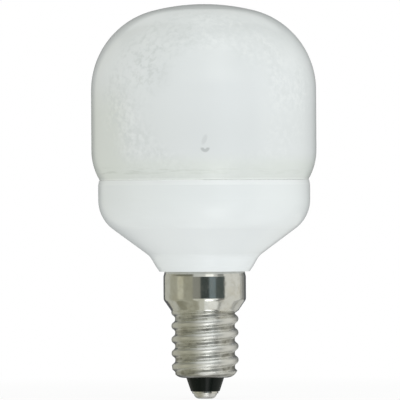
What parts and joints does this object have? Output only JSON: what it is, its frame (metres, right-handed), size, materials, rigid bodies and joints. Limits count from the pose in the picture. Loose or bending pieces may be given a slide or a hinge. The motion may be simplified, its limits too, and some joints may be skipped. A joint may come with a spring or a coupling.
{
  "type": "compact fluorescent lamp",
  "caption": "Small energy-saving lamp: frosted cylindrical glass bulb with a domed top, white ballast housing and a 14 mm screw cap, with its electronic ballast inside.",
  "frame": {"origin": "the flat tip of the centre contact, on the lamp's axis, at the bottom of the cap", "axes": "+Z along the lamp's axis from the cap to the top of the glass bulb, as it stands in the picture; -Y faces the camera; +X points to the picture's right"},
  "size_m": [0.0464, 0.0464, 0.0813],
  "materials": {
    "frosted_glass": "opal, smooth with a faintly grained coating",
    "white_plastic": "smooth, semi-gloss",
    "adhesive": "matt",
    "plated_cap": "bright nickel plating on thin rolled brass",
    "black_glass": "glossy black",
    "solder": "dull bright solder",
    "board": "bare paper laminate",
    "black_epoxy": "moulded epoxy",
    "resistor_coat": "lacquered",
    "trigger_glass": "glossy",
    "tinned_wire": "tinned",
    "ferrite": "sintered ferrite",
    "bobbin_plastic": "moulded",
    "copper_winding": "enamelled copper wire",
    "film_capacitor": "glossy dipped coat",
    "ceramic_disc": "dipped coat",
    "capacitor_sleeve": "shrunk sleeve",
    "fuse_coat": "flameproof coat"
  },
  "bodies": {
    "root": {"glass_bulb": "frosted_glass", "bulb_adhesive": "adhesive", "tube_holder": "white_plastic", "housing": "white_plastic", "cap_shell": "plated_cap", "cap_insulator": "black_glass", "centre_contact": "plated_cap", "contact_solder": "solder", "circuit_board": "board", "rectifier_diodes": "black_epoxy", "resistors": "resistor_coat", "trigger_diode": "trigger_glass", "wrap_pins": "tinned_wire", "lead_in_wires": "tinned_wire", "choke_core": "ferrite", "choke_bobbin": "bobbin_plastic", "choke_winding": "copper_winding", "drive_transformer_core": "ferrite", "drive_transformer_windings": "copper_winding", "transistors": "black_epoxy", "start_capacitor": "film_capacitor", "coupling_capacitor": "film_capacitor", "snubber_capacitor": "ceramic_disc", "filter_choke": "ferrite", "reservoir_capacitor": "capacitor_sleeve", "reservoir_leads": "tinned_wire", "fuse_resistor": "fuse_coat", "live_wire": "tinned_wire", "contact_wire": "tinned_wire", "neutral_wire": "tinned_wire"}
  },
  "joints": []
}
